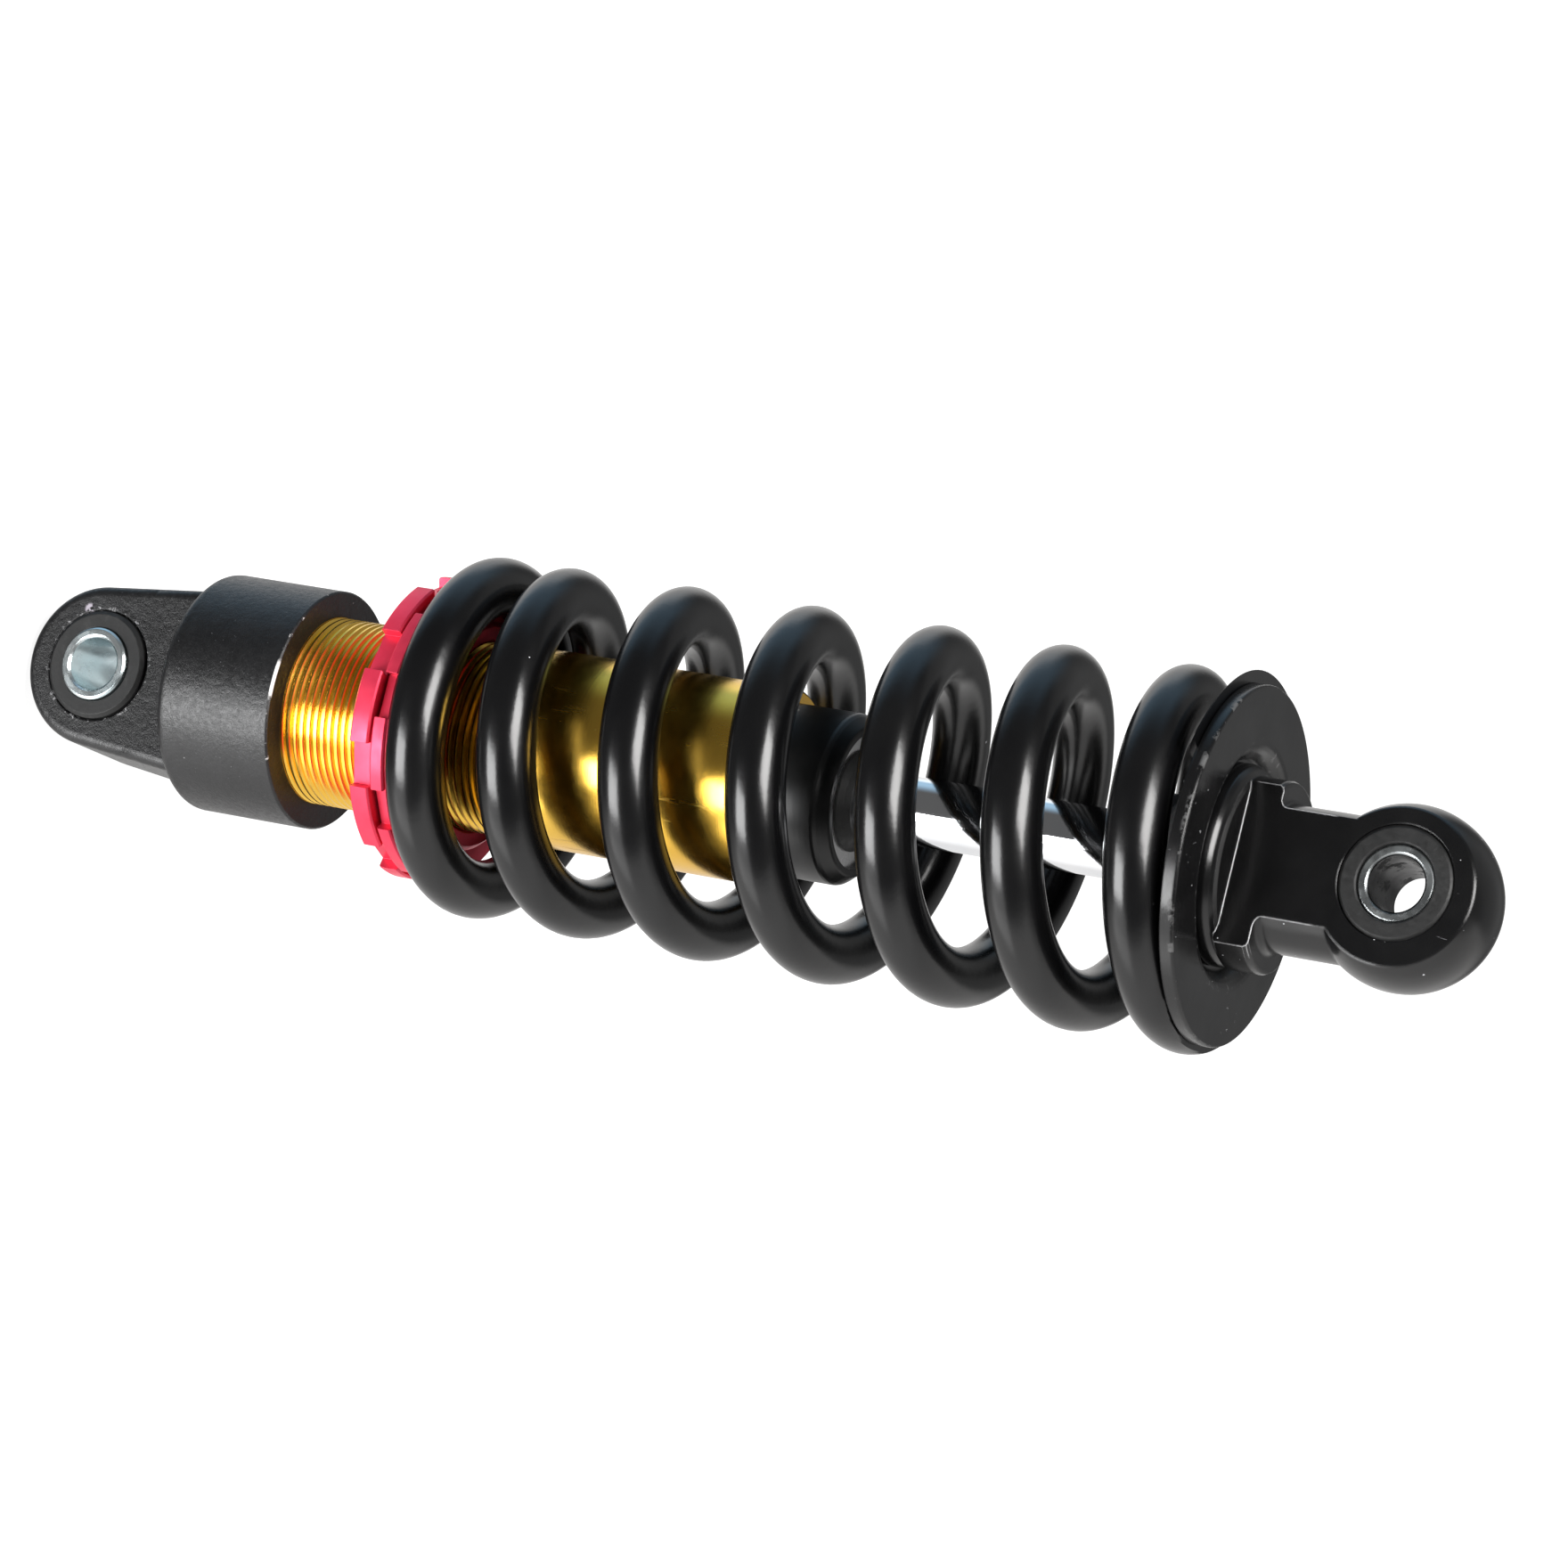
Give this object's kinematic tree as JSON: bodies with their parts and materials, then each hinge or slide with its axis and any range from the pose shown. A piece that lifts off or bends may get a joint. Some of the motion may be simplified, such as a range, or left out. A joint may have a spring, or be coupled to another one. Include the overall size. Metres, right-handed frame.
{
  "type": "coilover shock absorber",
  "caption": "Coilover shock absorber with a coil spring over a threaded damper body, castellated preload rings and rubber-bushed eyes at both ends.",
  "frame": {"origin": "centre of the bolt hole in the eye at the damper body end", "axes": "+Z along the damper from the body eye to the rod eye; the body eye's bolt hole runs along Y and the rod eye's is turned 5.2 degrees from it about Z, as pictured; X is square to Y and Z"},
  "size_m": [0.0692, 0.0694, 0.2973],
  "materials": {
    "cast_black": "satin black powder coat over a cast surface",
    "forged_black": "gloss black paint",
    "spring_black": "gloss black powder coat",
    "gold_anodised": "bright gold anodised, turned threads",
    "red_anodised": "satin red anodised",
    "tube_black": "semi-gloss black paint",
    "rod_chrome": "hard chrome, ground and polished",
    "zinc_steel": "bright zinc plated",
    "bush_rubber": "matte moulded rubber",
    "seal_rubber": "nitrile rubber",
    "bump_foam": "microcellular bump rubber",
    "turned_aluminium": "turned",
    "spring_steel": "polished shim steel",
    "ptfe_band": "bronze-filled PTFE"
  },
  "bodies": {
    "damper_body": {"body_end_cap": "cast_black", "body_eye_rubber": "bush_rubber", "threaded_sleeve": "gold_anodised", "damper_tube": "tube_black", "damper_tube_base": "tube_black", "seal_head": "turned_aluminium", "seal_head_o_ring": "seal_rubber", "seal_head_stop_ring": "spring_steel", "rod_guide_bush": "ptfe_band", "rod_oil_seal": "seal_rubber", "rod_wiper": "seal_rubber", "coil_spring": "spring_black"},
    "body_eye_bush": {"body_eye_sleeve": "zinc_steel"},
    "upper_seat": {"upper_spring_seat": "red_anodised"},
    "adjuster": {"adjuster_ring": "red_anodised"},
    "lock": {"lock_ring": "red_anodised"},
    "lower_seat": {"lower_spring_seat": "forged_black"},
    "rod": {"damper_rod": "rod_chrome", "piston": "turned_aluminium", "piston_band": "ptfe_band", "rebound_shims": "spring_steel", "compression_shims": "spring_steel", "piston_nut": "zinc_steel", "top_out_bumper": "bump_foam", "bump_stop": "bump_foam", "rod_end_eye": "forged_black", "rod_eye_rubber": "bush_rubber"},
    "rod_eye_bush": {"rod_eye_sleeve": "zinc_steel"}
  },
  "joints": [
    {"name": "body_eye_twist", "type": "hinge", "parent": "damper_body", "child": "body_eye_bush", "pos_m": [0, 0, 0], "axis": [0, 1, 0], "range_deg": [-15, 15], "stiffness_Nm_per_rad": 1.5},
    {"name": "preload_slide", "type": "slide", "parent": "damper_body", "child": "upper_seat", "axis": [0, 0, 1], "range_m": [-0.003, 0.009], "deforming": ["coil_spring"]},
    {"name": "adjuster_spin", "type": "hinge", "parent": "upper_seat", "child": "adjuster", "pos_m": [0, 0, 0.07265], "axis": [0, 0, 1], "range_deg": [-721, 2161]},
    {"name": "lock_ring_release", "type": "hinge", "parent": "adjuster", "child": "lock", "pos_m": [0, 0, 0.0687], "axis": [0, 0, 1], "range_deg": [-60, 0]},
    {"name": "rod_slide", "type": "slide", "parent": "damper_body", "child": "lower_seat", "axis": [0, 0, -1], "range_m": [0, 0.048], "stiffness_N_per_m": 135000, "deforming": ["coil_spring"]},
    {"name": "rod_swivel", "type": "hinge", "parent": "lower_seat", "child": "rod", "pos_m": [0, 0, 0.25], "axis": [0, 0, 1], "continuous": true},
    {"name": "rod_eye_twist", "type": "hinge", "parent": "rod", "child": "rod_eye_bush", "pos_m": [0, 0, 0.264], "axis": [0.0906, 0.9959, 0], "range_deg": [-15, 15], "stiffness_Nm_per_rad": 1.5}
  ],
  "couplings": [
    {"joint": "adjuster_spin", "follows": "preload_slide", "rad_per_m": 4188.8}
  ]
}
